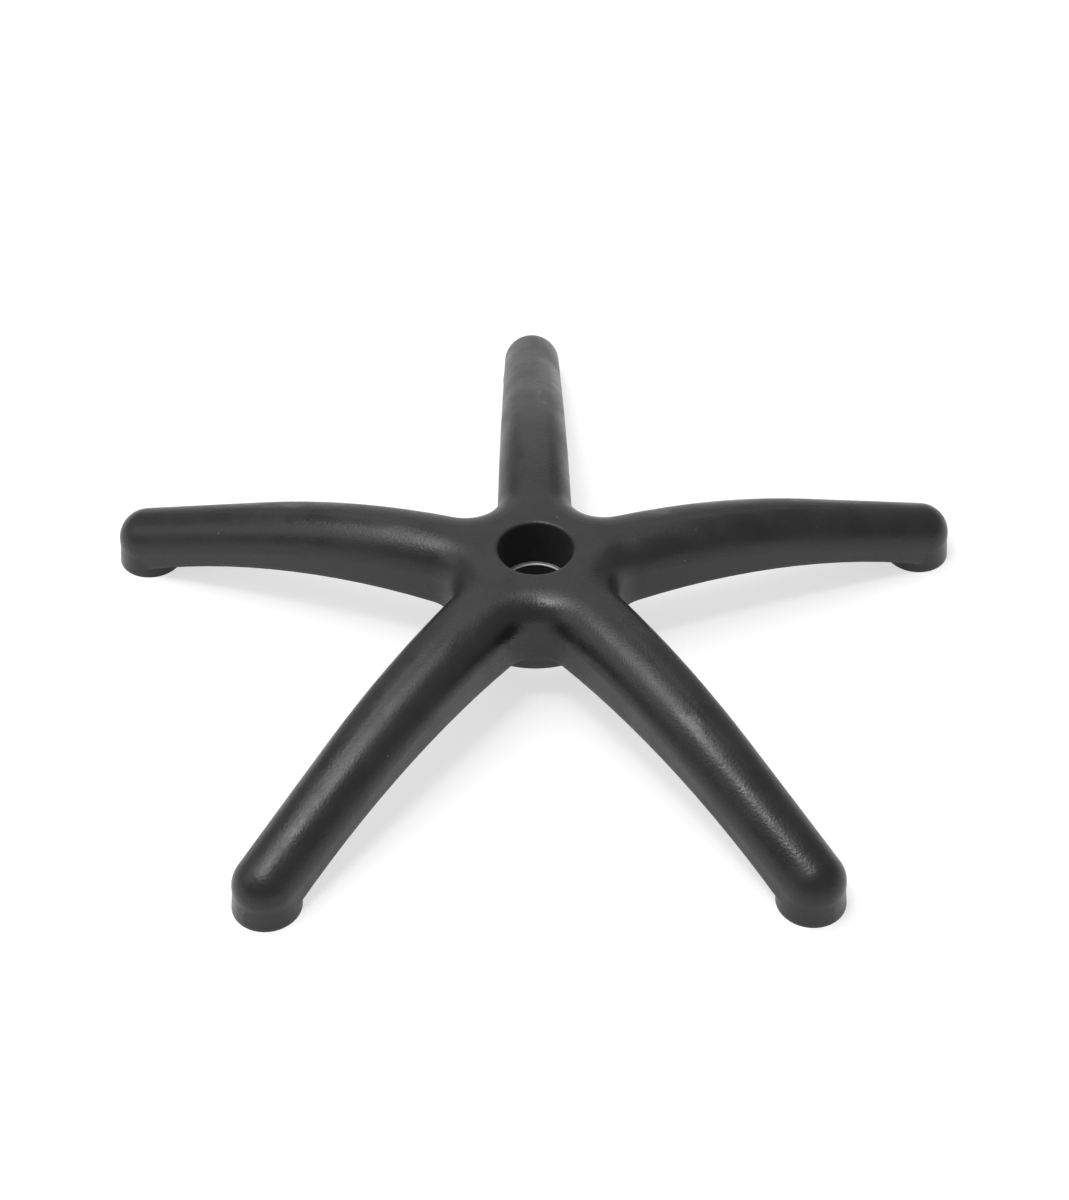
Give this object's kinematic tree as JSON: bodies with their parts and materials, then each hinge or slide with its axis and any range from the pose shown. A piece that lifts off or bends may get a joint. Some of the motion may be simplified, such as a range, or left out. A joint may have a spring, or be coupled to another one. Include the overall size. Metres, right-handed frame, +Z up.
{
  "type": "office chair five star base",
  "caption": "One-piece moulded star base for an office chair: arched round-topped legs on a bored hub, ribbed hollow underside, steel ring in the hub, caster sockets in the feet.",
  "frame": {"origin": "on the hub's axis, at the floor under the feet", "axes": "+Z up along the hub's axis; +Y along one leg, the one that points away in the picture"},
  "size_m": [0.5852, 0.5587, 0.0854],
  "materials": {
    "black_nylon": "black glass filled nylon with a fine moulded grain, satin",
    "plain_steel": "turned steel, bare"
  },
  "bodies": {
    "root": {"star_base": "black_nylon", "hub_ring": "plain_steel"}
  },
  "joints": []
}
